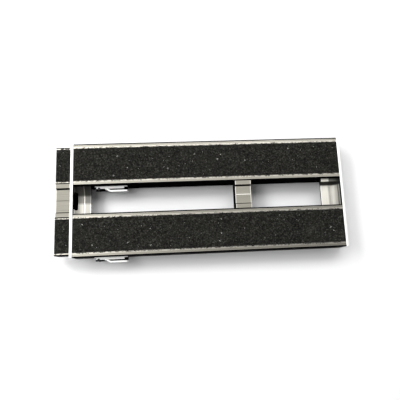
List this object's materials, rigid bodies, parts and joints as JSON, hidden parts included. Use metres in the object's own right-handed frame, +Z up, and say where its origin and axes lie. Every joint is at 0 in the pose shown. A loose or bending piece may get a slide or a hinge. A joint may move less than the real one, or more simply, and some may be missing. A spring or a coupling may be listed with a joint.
{
  "type": "extendable pedalboard",
  "caption": "Low two-rail pedalboard with hook-and-loop decks, open cable slots between the rails, and a sliding inner frame held by two cam levers",
  "frame": {"origin": "centre of the bounding box's bottom face, on the surface that the feet stand on, with the inner frame pushed in and both levers closed", "axes": "+X along the rails, from the sliding end to the closed end; +Y from the front rail to the rear rail; +Z up"},
  "size_m": [0.4474, 0.1824, 0.046],
  "materials": {
    "loop_tape": "black brushed nylon loop pile",
    "black_rail": "satin silver top lips over black side walls",
    "bright_plate": "bright satin aluminium with rounded edges",
    "satin_cast": "warm satin aluminium",
    "satin_tie": "brushed champagne aluminium with bright sawn edges",
    "bright_lever": "bright zinc-plated sheet steel",
    "lock_body": "black steel tray with a bright top flange",
    "pin_steel": "plain steel",
    "screw_steel": "dark zinc-plated steel",
    "nylon": "black nylon",
    "foot_rubber": "matt black rubber"
  },
  "bodies": {
    "outer_frame": {"centre_tie": "satin_tie", "centre_tie_screws": "screw_steel", "collar_glides": "nylon", "front_lock_bracket": "lock_body", "front_lock_pin": "pin_steel", "front_lock_rivets": "pin_steel", "front_outer_loop_tape": "loop_tape", "front_outer_rail": "black_rail", "left_end_plate": "bright_plate", "left_gusset": "satin_cast", "left_gusset_screws": "screw_steel", "outer_feet": "foot_rubber", "outer_foot_screws": "screw_steel", "rail_screws": "screw_steel", "rear_lock_bracket": "lock_body", "rear_lock_pin": "pin_steel", "rear_lock_rivets": "pin_steel", "rear_outer_loop_tape": "loop_tape", "rear_outer_rail": "black_rail", "right_end_plate": "bright_plate", "right_gusset": "satin_cast", "right_gusset_screws": "screw_steel"},
    "inner_frame": {"rear_inner_rail": "black_rail", "front_inner_rail": "black_rail", "rear_inner_loop_tape": "loop_tape", "front_inner_loop_tape": "loop_tape", "inner_end_tie": "satin_tie", "inner_tie_screws": "screw_steel", "inner_feet": "foot_rubber", "inner_foot_screws": "screw_steel", "inner_rail_glides": "nylon"},
    "rear_lever": {"rear_lock_lever": "bright_lever"},
    "front_lever": {"front_lock_lever": "bright_lever"},
    "rear_pad": {"rear_lock_pad": "nylon"},
    "front_pad": {"front_lock_pad": "nylon"}
  },
  "joints": [
    {"name": "frame_extension", "type": "slide", "parent": "outer_frame", "child": "inner_frame", "axis": [-1, 0, 0], "range_m": [0, 0.26]},
    {"name": "rear_lever_swing", "type": "hinge", "parent": "outer_frame", "child": "rear_lever", "pos_m": [-0.15925, 0.0218, 0.027], "axis": [0, 0, -1], "range_deg": [0, 50]},
    {"name": "rear_pad_release", "type": "slide", "parent": "outer_frame", "child": "rear_pad", "axis": [0, -1, 0], "range_m": [0, 0.0005]},
    {"name": "front_lever_swing", "type": "hinge", "parent": "outer_frame", "child": "front_lever", "pos_m": [-0.15925, -0.0867, 0.027], "axis": [0, 0, -1], "range_deg": [0, 75]},
    {"name": "front_pad_release", "type": "slide", "parent": "outer_frame", "child": "front_pad", "axis": [0, -1, 0], "range_m": [0, 0.0005]}
  ],
  "couplings": [
    {"joint": "rear_pad_release", "follows": "rear_lever_swing", "m_per_rad": 0.000334},
    {"joint": "front_pad_release", "follows": "front_lever_swing", "m_per_rad": 0.000334}
  ]
}
